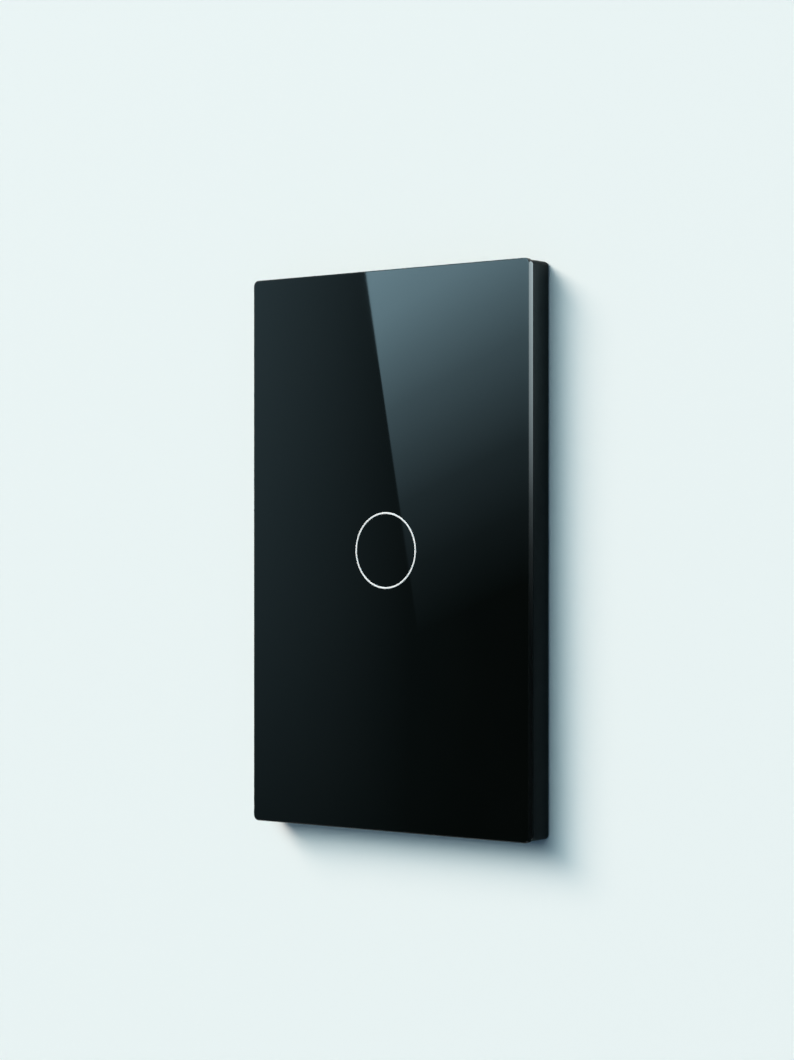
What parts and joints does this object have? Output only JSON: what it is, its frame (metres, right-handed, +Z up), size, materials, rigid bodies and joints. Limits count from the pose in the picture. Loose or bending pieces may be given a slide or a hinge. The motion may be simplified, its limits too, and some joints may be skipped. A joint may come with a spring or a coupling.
{
  "type": "smart light switch",
  "caption": "Wall light switch with a tall black glass touch panel and ring mark, a snap-off frame, and an in-wall box with relay and screw terminals.",
  "frame": {"origin": "centre of the panel on the wall's surface", "axes": "+X to the right, +Y into the wall, +Z up, as seen by someone facing the switch"},
  "size_m": [0.0746, 0.0357, 0.12],
  "materials": {
    "black_glass": "polished, opaque",
    "white_enamel": "fired enamel line",
    "black_foam": "foam tape",
    "black_frame": "fine matt texture",
    "spring_steel": "rolled strip",
    "black_base": "moulded, matt",
    "galvanised_steel": "zinc plated",
    "natural_nylon": "moulded",
    "zinc_screw": "bright zinc",
    "grey_housing": "moulded, fine matt",
    "black_board": "solder resist",
    "clear_guide": "frosted acrylic",
    "lamp_white": "moulded lens",
    "plated_spring": "nickel plated wire",
    "black_epoxy": "moulded epoxy",
    "tinned_lead": "tin plated",
    "blue_board": "solder resist",
    "shield_steel": "nickel plated",
    "green_board": "solder resist",
    "brown_part": "ceramic",
    "yellow_film": "moulded box",
    "ferrite": "sintered ferrite",
    "winding_tape": "polyester tape",
    "can_aluminium": "sleeved can",
    "blue_varistor": "dipped epoxy",
    "white_fuse": "moulded box",
    "relay_blue": "moulded case",
    "relay_iron": "plated iron",
    "coil_copper": "enamelled wire",
    "terminal_green": "moulded",
    "brass_bar": "stamped brass",
    "nickel_cage": "nickel plated"
  },
  "bodies": {
    "base": {"base_frame": "black_base", "mounting_plate": "galvanised_steel", "screw_retainers": "natural_nylon", "clamp_screws": "zinc_screw", "rear_housing": "grey_housing", "touch_board": "black_board", "light_guide": "clear_guide", "status_lamps": "lamp_white", "touch_spring": "plated_spring", "touch_controller": "black_epoxy", "touch_controller_leads": "tinned_lead", "radio_module": "blue_board", "radio_shield": "shield_steel", "board_header": "black_epoxy", "header_pins": "tinned_lead", "power_board": "green_board", "board_screws": "zinc_screw", "component_leads": "tinned_lead", "surface_parts": "brown_part", "film_capacitor": "yellow_film", "transformer_base": "black_epoxy", "transformer_core": "ferrite", "transformer_winding": "winding_tape", "filter_capacitors": "can_aluminium", "varistor": "blue_varistor", "fuse": "white_fuse", "rectifier": "black_epoxy", "relay_base": "black_epoxy", "relay_case": "relay_blue", "relay_pins": "tinned_lead", "relay_yoke": "relay_iron", "relay_core": "relay_iron", "relay_bobbin": "natural_nylon", "relay_winding": "coil_copper", "relay_fixed_contact": "brass_bar", "terminal_block": "terminal_green", "current_bars": "brass_bar"},
    "front_panel": {"glass_panel": "black_glass", "touch_ring": "white_enamel", "panel_adhesive": "black_foam", "panel_frame": "black_frame", "panel_clips": "spring_steel"},
    "mounting_screw_lower": {"mounting_screw_lower": "zinc_screw"},
    "mounting_screw_upper": {"mounting_screw_upper": "zinc_screw"},
    "relay_armature": {"relay_armature": "relay_iron", "relay_contact_leaf": "brass_bar"},
    "terminal_screw_1": {"terminal_screw_1": "zinc_screw"},
    "terminal_clamp_1": {"terminal_clamp_1": "nickel_cage"},
    "terminal_screw_2": {"terminal_screw_2": "zinc_screw"},
    "terminal_clamp_2": {"terminal_clamp_2": "nickel_cage"},
    "terminal_screw_3": {"terminal_screw_3": "zinc_screw"},
    "terminal_clamp_3": {"terminal_clamp_3": "nickel_cage"}
  },
  "joints": [
    {"name": "panel_release", "type": "slide", "parent": "base", "child": "front_panel", "axis": [0, -1, 0], "range_m": [0, 0.03], "deforming": ["panel_clips"]},
    {"name": "mounting_screw_lower_turn", "type": "hinge", "parent": "base", "child": "mounting_screw_lower", "pos_m": [0, 0, -0.04165], "axis": [0, 1, 0], "continuous": true},
    {"name": "mounting_screw_upper_turn", "type": "hinge", "parent": "base", "child": "mounting_screw_upper", "pos_m": [0, 0, 0.04165], "axis": [0, 1, 0], "continuous": true},
    {"name": "terminal_clamp_1_rise", "type": "slide", "parent": "base", "child": "terminal_clamp_1", "axis": [0, 1, 0], "range_m": [0, 0.0035]},
    {"name": "terminal_screw_1_turn", "type": "hinge", "parent": "base", "child": "terminal_screw_1", "pos_m": [-0.012, 0.0165, -0.0264], "axis": [0, -1, 0], "range_deg": [0, 2520]},
    {"name": "terminal_clamp_2_rise", "type": "slide", "parent": "base", "child": "terminal_clamp_2", "axis": [0, 1, 0], "range_m": [0, 0.0035]},
    {"name": "terminal_screw_2_turn", "type": "hinge", "parent": "base", "child": "terminal_screw_2", "pos_m": [0, 0.0165, -0.0264], "axis": [0, -1, 0], "range_deg": [0, 2520]},
    {"name": "terminal_clamp_3_rise", "type": "slide", "parent": "base", "child": "terminal_clamp_3", "axis": [0, 1, 0], "range_m": [0, 0.0035]},
    {"name": "terminal_screw_3_turn", "type": "hinge", "parent": "base", "child": "terminal_screw_3", "pos_m": [0.012, 0.0165, -0.0264], "axis": [0, -1, 0], "range_deg": [0, 2520]},
    {"name": "relay_armature_pull", "type": "hinge", "parent": "base", "child": "relay_armature", "pos_m": [-0.0139, 0.0207, -0.0022], "axis": [1, 0, 0], "range_deg": [0, 4], "stiffness_Nm_per_rad": 0.01, "springref_deg": -2.86}
  ],
  "couplings": [
    {"joint": "terminal_screw_1_turn", "follows": "terminal_clamp_1_rise", "rad_per_m": 12566},
    {"joint": "terminal_screw_2_turn", "follows": "terminal_clamp_2_rise", "rad_per_m": 12566},
    {"joint": "terminal_screw_3_turn", "follows": "terminal_clamp_3_rise", "rad_per_m": 12566}
  ]
}
